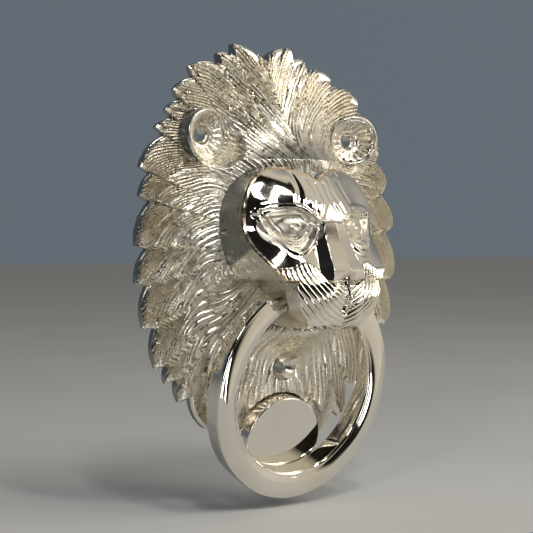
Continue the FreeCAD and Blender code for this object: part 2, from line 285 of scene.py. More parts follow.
def mixed(nodes, links, factor, first, second):
    """Mixes two colours; each may be a colour or a socket."""
    made = nodes.new("ShaderNodeMix")
    made.data_type = "RGBA"
    links.new(factor, made.inputs[0])
    for socket, colour in ((made.inputs[6], first), (made.inputs[7], second)):
        if isinstance(colour, tuple):
            socket.default_value = (*colour, 1)
        else:
            links.new(colour, socket)
    return made.outputs[2]


def polished_nickel(name, edge_colour, rough=0.05, waviness=0.15):
    """Mirror plate with slight hand-polishing waves, faint haze and worn edges."""
    material, nodes, links = new_material(name)
    shader = nodes["Principled BSDF"]
    shader.inputs["Metallic"].default_value = 1.0
    tone = ramp(nodes, links, noise(nodes, links, 45, 3),
                [(0.3, (0.80, 0.765, 0.69)), (0.7, (0.86, 0.83, 0.765))])
    geometry = nodes.new("ShaderNodeNewGeometry")
    edge = ramp(nodes, links, geometry.outputs["Pointiness"], [(0.535, 0.0), (0.60, 1.0)])
    colour = mixed(nodes, links, edge, tone, edge_colour)
    links.new(colour, shader.inputs["Base Color"])
    haze = ramp(nodes, links, noise(nodes, links, 160, 4), [(0.35, rough * 0.6), (0.75, rough * 1.7)])
    links.new(haze, shader.inputs["Roughness"])
    waves = bump(nodes, links, noise(nodes, links, 60, 1), waviness, 0.0006)
    pits = bump(nodes, links, noise(nodes, links, 2200, 2), 0.02, 0.0002, waves)
    links.new(pits, shader.inputs["Normal"])
    return material


def cast_nickel(name, rough=0.2, grain=0.5, bright=(0.88, 0.84, 0.75)):
    """Plate over a rough casting with a fine sparkling grain; its hollows carry a painted brown shade, so the
    ridges stand out bright.
    """
    material, nodes, links = new_material(name)
    shader = nodes["Principled BSDF"]
    shader.inputs["Metallic"].default_value = 1.0
    tone = ramp(nodes, links, noise(nodes, links, 70, 4), [(0.3, (0.79, 0.74, 0.63)), (0.7, bright)])
    geometry = nodes.new("ShaderNodeNewGeometry")
    # painted shade: where pointiness is low, in the hollows and between strands, the colour is mixed toward dark
    # brown to stand in for the shade that gathers there
    hollow = ramp(nodes, links, geometry.outputs["Pointiness"], [(0.36, 1.0), (0.49, 0.0)])
    colour = mixed(nodes, links, hollow, tone, (0.36, 0.29, 0.17))
    links.new(colour, shader.inputs["Base Color"])
    haze = ramp(nodes, links, noise(nodes, links, 400, 3), [(0.3, rough * 0.6), (0.7, rough * 1.6)])
    links.new(haze, shader.inputs["Roughness"])
    coarse = bump(nodes, links, noise(nodes, links, 520, 3), grain * 0.4, 0.0005)
    fine = bump(nodes, links, noise(nodes, links, 1900, 2), grain * 0.35, 0.0002, coarse)
    links.new(fine, shader.inputs["Normal"])
    return material


def machined_steel(name, colour, stretch, rough):
    """Turned or ground steel with fine tool lines."""
    material, nodes, links = new_material(name)
    shader = nodes["Principled BSDF"]
    shader.inputs["Metallic"].default_value = 1.0
    lines = noise(nodes, links, 900, 3, stretch)
    darker = tuple(channel * 0.8 for channel in colour)
    links.new(ramp(nodes, links, lines, [(0.3, darker), (0.7, colour)]), shader.inputs["Base Color"])
    links.new(ramp(nodes, links, lines, [(0.3, rough), (0.7, rough * 1.8)]), shader.inputs["Roughness"])
    links.new(bump(nodes, links, lines, 0.12, 0.0002), shader.inputs["Normal"])
    return material


def satin_nickel(name):
    """Dull grey plate on the cast side walls."""
    material, nodes, links = new_material(name)
    shader = nodes["Principled BSDF"]
    shader.inputs["Metallic"].default_value = 1.0
    tone = ramp(nodes, links, noise(nodes, links, 90, 4),
                [(0.3, (0.30, 0.315, 0.31)), (0.7, (0.38, 0.39, 0.38))])
    links.new(tone, shader.inputs["Base Color"])
    haze = ramp(nodes, links, noise(nodes, links, 300, 3), [(0.3, 0.24), (0.7, 0.38)])
    links.new(haze, shader.inputs["Roughness"])
    links.new(bump(nodes, links, noise(nodes, links, 500, 3), 0.18, 0.0003), shader.inputs["Normal"])
    return material


def paint(piece, materials, choose):
    """Gives each face the material whose number choose returns for face centres (mm) and normals."""
    mesh = piece.data
    count = len(mesh.polygons)
    centre, normal = np.zeros(count * 3), np.zeros(count * 3)
    mesh.polygons.foreach_get("center", centre)
    mesh.polygons.foreach_get("normal", normal)
    centre, normal = centre.reshape(-1, 3) / MM, normal.reshape(-1, 3)
    mesh.materials.clear()
    for material in materials:
        mesh.materials.append(material)
    chosen = choose(centre[:, 0], -centre[:, 1], centre[:, 2], normal)
    mesh.polygons.foreach_set("material_index", chosen.astype(np.int32))
    mesh.update()


MIRROR = polished_nickel("polished_nickel", (0.83, 0.62, 0.36))
HANDLED = polished_nickel("handled_nickel", (0.84, 0.80, 0.71))
CAST = cast_nickel("cast_nickel", 0.27, 0.32)
FACE_CAST = cast_nickel("rough_cast_side", 0.3, 0.8)
SATIN = satin_nickel("satin_side_wall")
DULL = cast_nickel("dull_eye_socket", 0.34, 0.12)
WORN = cast_nickel("worn_golden_edge", 0.22, 0.12, (0.93, 0.70, 0.42))
SCREW_STEEL = machined_steel("screw_steel", (0.62, 0.60, 0.57), (1, 1, 0.05), 0.22)
PIN_STEEL = machined_steel("pin_steel", (0.68, 0.67, 0.65), (1, 0.05, 1), 0.16)

# ---- the mane casting ----------------------------------------------------------------------
MANE_COLUMNS = 1680
MANE_ROWS = 150
SLAB = 5.0
LEDGE = 2.6                          # depth of the pocket that takes the face's flange
EAR_R = 12.0
STRIKER_FLOOR_R = 20.6
LOCK_REACH = 1.1                     # a lock lies within this turn of its middle
TOOTH_RADIUS = 78                    # usual distance of the teeth from the grid's middle
BODY_MIDDLE_Z, BODY_HALF_WIDTH, BODY_HALF_HEIGHT, BODY_RISE = -52, 73, 97, 10
CREST_Z, CREST_RISE, CREST_FALL, CREST_SPREAD = -11, 21, 14, 25
BEARD_Z, BEARD_RISE, BEARD_FALL, BEARD_SPREAD = -88, 24, 9, 15
EAR_DISH_R = 9.9
LIP_ROUND_R = 0.3


def wall_radius(reach, outside):
    """Distance from the grid's middle to the CAD plate's wall, round the grid's columns, at one reach."""
    bpy.context.view_layer.update()
    tree = BVHTree.FromObject(frame["nodes"]["mane_plate"], bpy.context.evaluated_depsgraph_get())
    middle = Vector((0, -reach * MM, CENTRE_Z * MM))
    far = 0.2
    radii = []
    for turn in mane_turn:
        way = Vector((math.sin(turn), 0, math.cos(turn)))
        if outside:
            hit = tree.ray_cast(middle + way * far, -way)
            radii.append((far - hit[3]) / MM)
        else:
            hit = tree.ray_cast(middle, way)
            radii.append(hit[3] / MM)
    return np.array(radii)


mane_turn = np.linspace(-math.pi, math.pi, MANE_COLUMNS, endpoint=False)
outer_radius = wall_radius(2.0, True)
open_radius = wall_radius(4.2, False)
flange_radius = wall_radius(1.2, False)


def mane_body(x, z):
    """Reach of the combed surface before its locks are added."""
    spread = (x / BODY_HALF_WIDTH) ** 2 + ((z - BODY_MIDDLE_Z) / BODY_HALF_HEIGHT) ** 2
    body = SLAB + BODY_RISE * (1 - np.minimum(spread, 1))
    crest = CREST_RISE * np.exp(-np.maximum(z - CREST_Z, 0) / CREST_FALL - (x / CREST_SPREAD) ** 2)
    crest *= np.where(z < CREST_Z, np.exp(-((z - CREST_Z) / CREST_SPREAD) ** 2), 1)
    beard = BEARD_RISE * np.exp(-((z - BEARD_Z) / BEARD_FALL) ** 2 - (x / BEARD_SPREAD) ** 2)
    return body + crest + beard


def tooth_turns():
    """Where the outline's teeth end: the angles at which its radius falls off suddenly."""
    ahead = np.roll(outer_radius, -6)
    behind = np.roll(outer_radius, 6)
    left = mane_turn < 0
    drop = np.where(left, outer_radius - behind, outer_radius - ahead)
    tips = []
    for i in range(MANE_COLUMNS):
        window = drop[np.arange(i - 9, i + 10) % MANE_COLUMNS]
        if drop[i] > 1.5 and drop[i] == window.max():
            tips.append(mane_turn[i])
    return tips


def sweep(turn):
    """How far, in radians, the hair has turned down the mane between the face and the teeth."""
    degrees = smooth((0, 25, 60, 90, 115, 135, 155, 180), (22, 27, 31, 38, 42, 34, 14, 0),
                     np.abs(np.degrees(turn)))
    return np.radians(degrees) * np.sign(turn)


def combed(turn, share):
    """The angle at the teeth that the strand through each point of the grid is combed to."""
    parting = math.radians(4.6)
    there = turn + parting * share * hump(turn, 0.5)
    end = there
    for _ in range(4):
        end = there + sweep(end) * (1 - np.clip(share, 0, 1) ** 1.35)
    return end


def lock_height(end, share, radius, lock):
    """Height of one lock over the grid, and far below zero where the lock isn't."""
    t = np.clip(share / lock["tip"], 0, 1.2)
    off = (end - lock["turn"] + math.pi) % (2 * math.pi) - math.pi
    narrow = np.clip(1 - np.clip(t, 0, 1) ** lock["point"], 0.02, 1)
    n = off * radius / (lock["half"] * narrow)
    crown = 0.9 * (1 - n * n) + 0.35 * n * lock["tilt"]
    return np.where((np.abs(n) < 1) & (t < 1), lock["lift"] * t * t + crown, -9.0)


def lock_rows():
    """The locks, from the outer row, which ends in the teeth, to the short inner ones."""
    tips = tooth_turns()
    gaps = np.diff(tips + [tips[0] + 2 * math.pi])
    outer = []
    for k, turn in enumerate(tips):
        before = gaps[k - 1] if turn > 0 else gaps[k]
        outer.append(dict(turn=turn - 0.30 * before * np.sign(turn), tip=1.04,
                          half=0.68 * before * TOOTH_RADIUS, point=9, lift=0.2))
    rows = [outer]
    for tip, count, half, lift in ((0.80, 30, 9.5, 0.9), (0.56, 26, 8.8, 1.1), (0.33, 22, 7.8, 1.0)):
        row = []
        for k in range(count):
            turn = -math.pi + 2 * math.pi * (k + 0.5 + RANDOM.uniform(-0.25, 0.25)) / count
            row.append(dict(turn=turn, tip=tip + RANDOM.uniform(-0.09, 0.09),
                            half=half * RANDOM.uniform(0.8, 1.15), point=3.0, lift=lift))
        rows.append(row)
    for row in rows:
        for lock in row:
            lock["tilt"] = np.sign(lock["turn"])
    return rows


STRANDS = (206, 172, 140, 108)       # strands round the mane in each row of locks, outer row first
STRAND_DEPTH = 1.6


def hair(turn, share, radius):
    """Height of all the locks and their strands above the mane's body."""
    end = combed(turn, share)
    waves = 0.034 * value_noise(21, turn.shape, (3, 22)) + 0.008 * value_noise(22, turn.shape, (5, 64))
    height = np.full(turn.shape, -0.3)
    for level, (row, strands) in enumerate(zip(lock_rows(), STRANDS)):
        top = np.full(turn.shape, -9.0)
        for lock in row:
            away = (turn[0] - lock["turn"] + math.pi) % (2 * math.pi) - math.pi
            columns = np.nonzero(np.abs(away) < LOCK_REACH)[0]
            part = lock_height(end[:, columns], share[:, columns], radius[:, columns], lock)
            top[:, columns] = np.maximum(top[:, columns], part)
        phase = (end + waves) * strands / 2
        rib = np.abs(np.cos(phase)) ** 0.7
        depth = STRAND_DEPTH * (0.9 + 0.25 * value_noise(41 + level, turn.shape, (5, 90)))
        height = np.maximum(height, top + depth * (rib - 0.6) + 0.10 * level)
    return height


def ear_lip(angle):
    """Reach of an ear's lip; angle 0 is its outer side."""
    return 12.1 + 3.4 * np.clip(1.35 * np.cos(angle - 0.35), -1, 1)


def mane_surface(turn, share, radius):
    x = radius * np.sin(turn)
    z = CENTRE_Z + radius * np.cos(turn)
    height = mane_body(x, z) - 1.0 + hair(turn, share, radius)
    height += 0.04 * value_noise(3, turn.shape, (40, 240))
    for side in (-1, 1):
        gap = np.hypot(x - side * EAR_X, z) - EAR_R
        towards = np.arctan2(z, (x - side * EAR_X) * side)
        beside = 1 - step(0.0, 6.5, gap)
        level = ear_lip(towards) - 0.6
        lowered = np.minimum(height, level + 0.25 * hair_line(turn, radius) + 0.9 * np.maximum(gap, 0))
        height = height * (1 - beside) + lowered * beside
    foot = np.hypot(x, z - STRIKER_Z - 0.8)
    seat = 1 - step(STRIKER_FLOOR_R, STRIKER_FLOOR_R + 0.9, foot)
    height = height * (1 - seat) + (SLAB - 0.1) * seat
    return height


def hair_line(turn, radius):
    """Thin strands where the hair thins out into an ear."""
    return np.cos(turn * 190 + radius * 0.6)


def mane_rings():
    """Rows of (radius, reach) round the mane: opening, surface, toothed edge, back and flange pocket."""
    turn = np.broadcast_to(mane_turn, (MANE_ROWS, MANE_COLUMNS))
    share = np.broadcast_to(np.linspace(0, 1, MANE_ROWS)[:, None], turn.shape)
    inner = open_radius[None, :]
    radius = inner + (outer_radius[None, :] - inner) * share
    height = mane_surface(turn, share, radius)
    rounding = 0.9 * (1 - step(0.0, 1.4, outer_radius[None, :] - radius))
    height = height - rounding
    rough = value_noise(11, (9, MANE_COLUMNS), (8, 420))
    rings = [(open_radius, np.full(MANE_COLUMNS, LEDGE))]
    for k, part in enumerate((0.25, 0.5, 0.75, 0.93)):
        rings.append((open_radius + 0.1 * rough[k], LEDGE + (height[0] - LEDGE) * part))
    rings += [(radius[k], height[k]) for k in range(MANE_ROWS)]
    for k, part in enumerate((0.8, 0.55, 0.3, 0.1)):
        rings.append((outer_radius + 0.12 * rough[k + 4], height[-1] * part))
    rings.append((outer_radius - 0.2, np.zeros(MANE_COLUMNS)))
    for part in (0.35, 0.7, 1.0):
        rings.append((outer_radius + (flange_radius - outer_radius) * part, np.zeros(MANE_COLUMNS)))
    rings.append((flange_radius, np.full(MANE_COLUMNS, LEDGE)))
    return rings


def polar_points(rings, turn):
    return np.concatenate([np.stack([radius * np.sin(turn), reach, CENTRE_Z + radius * np.cos(turn)], axis=1)
                           for radius, reach in rings])


def ear_cup(side, material):
    """The round ear: bored, countersunk, dished with short hairs inside, its outer lip the higher."""
    columns = 260
    turn = np.linspace(0, 2 * math.pi, columns, endpoint=False)
    lip = ear_lip(turn)
    rows = [(FIXING_R, np.zeros(columns)), (FIXING_R, np.full(columns, 5.4))]
    for part in np.linspace(0, 1, 26):
        radius = FIXING_R + LIP_ROUND_R + (EAR_DISH_R - FIXING_R) * part
        bowl = 5.7 + 1.9 * step(0, 0.24, part) + (lip - 7.9) * step(0.22, 1.0, part)
        hairs = 0.30 * np.cos(turn * 17 + 2.5 * part) * step(0.3, 0.55, part) * (1 - step(0.75, 0.95, part))
        facets = 0.10 * np.cos(turn * 7 + 1) * hump(part - 0.12, 0.1)
        rows.append((radius, bowl + hairs + facets))
    for part in np.linspace(0.2, 1, 7):
        radius = EAR_DISH_R + LIP_ROUND_R + (EAR_R - 10.2) * part
        rows.append((radius, lip + 0.25 * math.sin(part * math.pi) - 0.5 * part ** 6))
    for part in (0.8, 0.5, 0.2, 0.0):
        rows.append((EAR_R, (lip - 0.9) * part))
    points = []
    for radius, reach in rows:
        x = side * (EAR_X + radius * np.cos(turn))
        points.append(np.stack([x, reach + 0 * turn, radius * np.sin(turn)], axis=1))
    faces = grid_faces(len(rows), columns, close_rows=True)
    return outward(make_piece("ear_tool", np.concatenate(points), faces, material))


def plug(x, z, profile, material=CAST):
    """A turned cutter that stands out of the door."""
    return turned("cutter", (x, 0, z), (0, 1, 0), profile, material)


def build_mane():
    rings = mane_rings()
    points = polar_points(rings, mane_turn)
    faces = grid_faces(len(rings), MANE_COLUMNS, close_rows=True)
    mane = outward(make_piece("mane_casting", points, faces, CAST))
    ear_room = [plug(side * EAR_X, 0, ((EAR_R - 0.25, -1), (EAR_R - 0.25, 60))) for side in (-1, 1)]
    carve(mane, ear_room, "DIFFERENCE")
    carve(mane, [ear_cup(side, CAST) for side in (-1, 1)], "UNION")
    rim = mane_body(np.array(0.0), np.array(LOWER_HOLE_Z))
    hole = plug(0, LOWER_HOLE_Z, ((FIXING_R, -1), (FIXING_R, rim - 3.4), (3.6, rim - 2.9), (7.8, rim + 2.5),
                                  (8.4, rim + 6)))
    screw_hole = plug(0, STRIKER_Z, ((4.85, -0.5), (4.85, 0.0), (2.55, 2.3), (2.55, 12)))
    carve(mane, [hole, screw_hole], "DIFFERENCE")

    def choose(x, reach, z, normal):
        upright = np.abs(normal[:, 1]) < 0.4
        edge = np.interp(np.arctan2(x, z - CENTRE_Z), mane_turn, outer_radius, period=2 * math.pi)
        rim = upright & (np.hypot(x, z - CENTRE_Z) > edge - 0.7)
        ear = upright & (np.abs(np.hypot(np.abs(x) - EAR_X, z) - EAR_R) < 0.35)
        return (rim | ear).astype(int)

    paint(mane, [CAST, SATIN], choose)
    return mane


# ---- the polished face ---------------------------------------------------------------------
FACE_COLUMNS = 960
FACE_ROWS = 170
WALL = 3.5
FRONT_WALL = 5.5
FLANGE_TOP = 2.5
PAD_BACK = 46.4                      # reach of the back of the whisker pads
EDGE_ROUND = 0.7
BOSS_R, BOSS_LENGTH = 6, 7
FACE_SCREWS = ((20.0, -9.3), (36.5, -58.0))
Z_STATIONS = (-88, -84, -78, -72, -67, -62, -56, -50, -44, -38, -32, -26, -20, -14)
FACE_NET = {
    0: (51, 56.3, 60.0, 61.6, 60.0, 57.0, 54.0, 52.0, 51.0, 50.5, 48.3, 44.0, 39.4, 35.0),
    7: (50.5, 56.3, 60.2, 62.0, 61.0, 57.6, 53.6, 51.0, 50.0, 49.8, 47.8, 43.6, 38.6, 33.0),
    14: (48, 53.5, 58.2, 60.4, 59.4, 56.4, 53.0, 49.6, 46.8, 46.3, 44.8, 41.2, 36.4, 29.5),
    22: (43, 48.0, 53.0, 55.8, 55.4, 53.4, 50.2, 46.6, 43.4, 41.6, 39.6, 36.9, 33.2, 27.5),
    30: (40, 44.0, 47.0, 49.0, 50.6, 50.0, 46.0, 41.2, 37.6, 36.4, 35.4, 33.0, 29.0, 24.0),
    37: (36, 40.0, 43.0, 45.0, 47.0, 46.5, 41.0, 35.6, 31.6, 30.6, 31.0, 29.0, 24.0, 18.0),
}
PAD_SIDE = ((0, -87.5), (7, -87.0), (13, -85), (18.8, -80), (22.2, -73), (22.6, -66))
BROW_WRINKLES = (((11.7, -17.5), (11.7, -25), (13.8, -30.8)), ((5.3, -20.4), (4.4, -26.8), (7.4, -34.8)),
                 ((2.2, -22.7), (1.9, -30), (5, -36.5)))
UPPER_LID = ((30.8, -34.9), (28.4, -33.2), (20.9, -32), (14.3, -32.5), (10.5, -35.4), (7.8, -38.2))
LOWER_LID = ((30.7, -36), (28.4, -42), (23.8, -47), (20.7, -51.6), (16.4, -52.7), (10.5, -48.5), (7.6, -43))
LID_FOLD_TOP = ((27.7, -37), (21.5, -36.2), (14, -35.9), (10.8, -38.5))
LID_FOLD_SIDE = ((26.3, -37.7), (24.4, -41.6), (21, -46.6), (16, -47.6), (11.5, -44.5))


def nose(ax, z):
    """The faceted nose: a ridge that widens down to a sharp-edged tip and two wings."""
    ridge = smooth((-66, -60.7, -56, -50, -44, -38, -34), (64.6, 64.4, 61.2, 57.6, 54.6, 52.4, 50.2), z)
    tilt = smooth((-66, -60, -52, -45, -38), (0.2, 0.22, 0.26, 0.3, 0.16), z)
    edge = smooth((-66, -60.4, -55, -50, -45, -38), (8.8, 8.0, 7.1, 6.5, 6.2, 5.0), z)
    top = ridge - tilt * ax
    side = top - 1.9 * np.maximum(ax - edge, 0)
    below = np.maximum(-60.7 - z, 0)
    front = side - 1.02 * below * np.clip(1 - ax / 8.6, 0, 1)
    return front - 2.6 * np.maximum(-65.0 - z, 0) - 1.5 * np.maximum(z + 40, 0)


def face_reach(x, z):
    """Reach of the face's front, mirrored about the middle."""
    ax = np.abs(x)
    stations = sorted(FACE_NET)
    columns = [smooth(Z_STATIONS, FACE_NET[station], z) for station in stations]
    base = smooth(stations, np.array(columns), ax)
    socket = np.hypot((ax - 18.5) / 10.5, (z + 42.0) / 7.6)
    base -= 1.3 * (1 - step(0.75, 1.1, socket))
    ball = 1 - np.hypot((ax - 17.2) / 6.8, (z + 41.6) / 4.3) ** 2
    base += 1.7 * np.sqrt(np.clip(ball, 0, 1))
    gap, side = distance(ax, z, UPPER_LID)
    base += 0.95 * hump(gap, 0.95)
    base -= 0.7 * hump(gap - 1.9, 0.7) * (side < 0)
    gap, _ = distance(ax, z, LOWER_LID)
    base += 0.75 * hump(gap, 0.8) - 0.45 * hump(gap - 1.6, 0.6)
    for fold in (LID_FOLD_TOP, LID_FOLD_SIDE):
        gap, _ = distance(ax, z, fold)
        base += 0.6 * hump(gap, 0.45) - 0.5 * hump(gap - 1.0, 0.4)
    pupil = np.hypot(ax - 16.5, z + 41.4)
    base += 0.35 * hump(pupil - 1.5, 0.4) - 0.6 * hump(pupil, 0.75)
    fade = step(-39, -33, z) * (1 - step(-19, -15, z))
    for wrinkle in BROW_WRINKLES:
        gap, _ = distance(ax, z, wrinkle)
        base -= 0.28 * hump(gap, 1.1) * fade
        base += 0.14 * hump(gap - 2.0, 1.2) * fade
    pads = pad_share(ax, z)
    arc = np.hypot(ax + 8, z + 52) + 0.07 * (z + 65)
    whisker = np.abs(np.cos(math.pi * arc / 2.05)) ** 0.8
    base += pads * (0.5 + 0.75 * (whisker - 0.6))
    philtrum = step(-80.5, -77, z) * (1 - step(-66.2, -64.8, z))
    base -= 1.7 * hump(ax, 1.0) * philtrum
    base -= 3.2 * hump(np.hypot(ax, (z + 77.8) * 0.8), 1.5)
    snout = nose(ax, z)
    blend = np.clip(0.5 + (snout - base) / 1.2, 0, 1)
    return base * (1 - blend) + snout * blend + 0.3 * blend * (1 - blend)


def pad_share(ax, z):
    """1 on the whisker pads, 0 on the cheeks and nose."""
    top = smooth((0, 6.7, 9.4, 12.8, 15.8, 20.5, 23), (-66, -66, -62, -59, -57.2, -58.7, -60), ax)
    return (1 - step(-0.6, 0.6, z - top)) * step(-86.8, -84.5, z)


def nearest_turn(side, turn):
    """Radius of a star-shaped outline, given by its points, at each angle from the grid's middle."""
    points = np.asarray(side, float)
    angle = np.arctan2(points[:, 0], points[:, 1] - CENTRE_Z)
    radius = np.hypot(points[:, 0], points[:, 1] - CENTRE_Z)
    order = np.argsort(angle)
    return np.interp(np.abs(turn), angle[order], radius[order])


face_turn = np.linspace(-math.pi, math.pi, FACE_COLUMNS, endpoint=False)


def face_outlines():
    """Radii of the muzzle-and-brow wall and of the front, which the whisker pads make wider."""
    wall = np.interp(face_turn, mane_turn, open_radius) - SEAT_GAP
    pads = nearest_turn(along(PAD_SIDE, 200), face_turn)
    lowest = math.atan2(PAD_SIDE[-1][0], PAD_SIDE[-1][1] - CENTRE_Z)
    front = np.where(np.abs(face_turn) > lowest, np.maximum(wall, pads), wall)
    return wall, front


def offset_inwards(radius, amount):
    """The outline moved in by about the wall's thickness, worked out on its points."""
    x, z = radius * np.sin(face_turn), radius * np.cos(face_turn)
    dx, dz = np.roll(x, -3) - np.roll(x, 3), np.roll(z, -3) - np.roll(z, 3)
    length = np.hypot(dx, dz)
    inner_x, inner_z = x - dz / length * amount, z + dx / length * amount
    angle, size = np.arctan2(inner_x, inner_z), np.hypot(inner_x, inner_z)
    order = np.argsort(angle)
    return np.minimum(np.interp(face_turn, angle[order], size[order], period=2 * math.pi), radius - 1.5)


def build_face():
    wall, front = face_outlines()
    rings = []
    for share in np.linspace(0, 1, FACE_ROWS + 1)[1:]:
        radius = front * share
        rings.append((radius, face_reach(radius * np.sin(face_turn), CENTRE_Z + radius * np.cos(face_turn))))
    rolled = []
    for radius, reach in rings:
        close = np.maximum(EDGE_ROUND - (front - radius), 0) / EDGE_ROUND
        rolled.append((radius, reach - EDGE_ROUND * (1 - np.sqrt(np.clip(1 - close ** 2, 0, 1)))))
    rings = rolled
    edge = rings[-1][1]
    pad_back = np.minimum(edge - 1.2, PAD_BACK)
    stands_out = front - wall > 0.4
    last = np.where(stands_out, pad_back, edge - 1.0)
    rings.append((front, last))
    step_in = np.where(stands_out, last - 1.0, last - 0.6)
    rings.append((wall, step_in))
    for part in np.linspace(0, 1, 15)[1:]:
        rings.append((wall, step_in + (FLANGE_TOP - step_in) * part))
    rim = np.interp(face_turn, mane_turn, flange_radius) - SEAT_GAP
    rings.append((rim, np.full(FACE_COLUMNS, FLANGE_TOP)))
    rings.append((rim, np.zeros(FACE_COLUMNS)))
    inner = offset_inwards(wall, WALL)
    rings.append((inner, np.zeros(FACE_COLUMNS)))
    inside = []
    for share in np.linspace(1, 0, 40)[:-1]:
        radius = inner * share
        x, z = radius * np.sin(face_turn), CENTRE_Z + radius * np.cos(face_turn)
        inside.append((radius, inside_reach(x, z)))
    for part in (0.3, 0.6, 0.85):
        rings.append((inner, inside[0][1] * part))
    rings += inside
    points = polar_points(rings, face_turn)
    middle = np.array([0.0])
    tip = (0.0, float(face_reach(middle, middle + CENTRE_Z)[0]), CENTRE_Z)
    hollow = (0.0, float(inside_reach(middle, middle + CENTRE_Z)[0]), CENTRE_Z)
    faces = grid_faces(len(rings), FACE_COLUMNS)
    top, bottom = len(points), len(points) + 1
    last = (len(rings) - 1) * FACE_COLUMNS
    for j in range(FACE_COLUMNS):
        k = (j + 1) % FACE_COLUMNS
        faces.append((top, k, j))
        faces.append((bottom, last + j, last + k))
    face = outward(make_piece("face_casting", np.concatenate([points, [tip, hollow]]), faces, MIRROR, 30))
    boss_profile = ((BOSS_R, 0), (BOSS_R, BOSS_LENGTH))
    bosses = [turned("boss", (side * PIN_SHOULDER_X, PIVOT_REACH, PIVOT_Z), (side, 0, 0), boss_profile,
                     MIRROR) for side in (-1, 1)]
    carve(face, bosses, "UNION")
    bores = [turned("bore", (side * (PIN_SHOULDER_X - 0.5), PIVOT_REACH, PIVOT_Z), (side, 0, 0),
                    ((2.05, 0), (2.05, 20)), MIRROR) for side in (-1, 1)]
    seats = [plug(x * side, z, ((2.85, -0.5), (2.85, 0), (1.55, 1.3), (1.55, 4)), MIRROR)
             for side in (-1, 1) for x, z in FACE_SCREWS]
    carve(face, bores + seats, "DIFFERENCE")

    def choose(x, reach, z, normal):
        turn = np.arctan2(x, z - CENTRE_Z)
        radius = np.hypot(x, z - CENTRE_Z)
        wall_there = np.interp(turn, face_turn, wall, period=2 * math.pi)
        inside = (radius < wall_there - 0.6) & (reach < inside_reach(x, z) + 1.5)
        side = (np.abs(normal[:, 1]) < 0.45) & (radius > wall_there - 0.6) & (reach < face_reach(x, z) - 0.9)
        rough = side & (z < -54 + 0.4 * (reach - 30))
        behind = reach < 2.6
        worn = (radius > wall_there - 1.5) & (z > -66) & (reach > face_reach(x, z) - 2.2) & ~side
        socket = np.hypot((np.abs(x) - 18.5) / 12.5, (z + 42.5) / 9.0) < 1
        dull = socket & (reach > face_reach(x, z) - 0.9) & ~side
        front = np.where(worn, 3, np.where(dull, 4, 0))
        return np.where(inside | rough | behind, 2, np.where(side, 1, front))

    paint(face, [MIRROR, SATIN, FACE_CAST, WORN, DULL], choose)
    return face


def inside_reach(x, z):
    """The plain inside of the hollow casting."""
    ax = np.abs(x)
    stations = sorted(FACE_NET)
    columns = [smooth(Z_STATIONS, FACE_NET[station], z) for station in stations]
    return smooth(stations, np.array(columns), ax) - FRONT_WALL


# ---- the ring ------------------------------------------------------------------------------
RING_LEAN = math.radians(13.3)
RING_EDGE = 3.65
RING_DEPTH = 9.7
RING_END_DEPTH = 7.3
RING_FULL_DEPTH_AT = 60              # the section has grown to its full depth this far below the pivot
RING_END_CROWN = 0.8
RING_CROWN_GROWTH = 2.0
RING_SECTIONS = 320
REST_GAP = 0.3                       # between the resting ring and the striker
OUTER_SIDE = ((16, 3.8), (22, 2.6), (27.5, 0.2), (36.2, -9), (42.8, -21), (45.7, -33),
              (46, -45), (44.3, -58), (39.2, -71), (30.2, -82.2), (16.5, -91.6), (0, -95))
INNER_SIDE = ((16, -4.4), (19.5, -6.6), (23.2, -10.2), (28.6, -17.4), (33.2, -27),
              (35.7, -38), (35.6, -48), (32.2, -59.5), (25.6, -69.8), (14.8, -78.8), (0, -82.4))


def ring_point(x, along_plane, out):
    """A point of the hanging ring, along its leaning plane from the pivot and out of it."""
    reach = PIVOT_REACH + along_plane * math.sin(RING_LEAN) + out * math.cos(RING_LEAN)
    height = PIVOT_Z + along_plane * math.cos(RING_LEAN) - out * math.sin(RING_LEAN)
    return np.stack([x, reach, height], axis=-1)


def ring_edge(side, count):
    """Evenly spaced points of an edge from one end of the ring round to the other."""
    left = [(-x, z) for x, z in side[:-1]]
    fine = along(left + list(side)[::-1], 1200)
    length = np.concatenate([[0], np.cumsum(np.hypot(*np.diff(fine, axis=0).T))])
    even = np.linspace(0, length[-1], count)
    return np.stack([np.interp(even, length, fine[:, 0]), np.interp(even, length, fine[:, 1])], axis=1)


def ring_profile(width, depth, crown, round_front, round_back):
    """Half-round-cornered section: (across, out) pairs from the outer front corner round."""
    half = width / 2
    out = []
    for t in np.linspace(-1, 1, 21):
        u = t * (half - round_front)
        out.append((u, crown * (1 - (u / half) ** 2)))
    start = out[-1][1]
    for a in np.linspace(0, math.pi / 2, 7)[1:]:
        out.append((half - round_front + round_front * math.sin(a), start - round_front * (1 - math.cos(a))))
    for t in np.linspace(0, 1, 6)[1:]:
        out.append((half, (start - round_front) * (1 - t) + (-depth + round_back) * t))
    for a in np.linspace(0, math.pi / 2, 5)[1:]:
        out.append((half - round_back + round_back * math.cos(a),
                    -depth + round_back - round_back * math.sin(a)))
    right = out[21:]
    left = [(-u, v) for u, v in right[::-1]]
    return np.array(out + left)


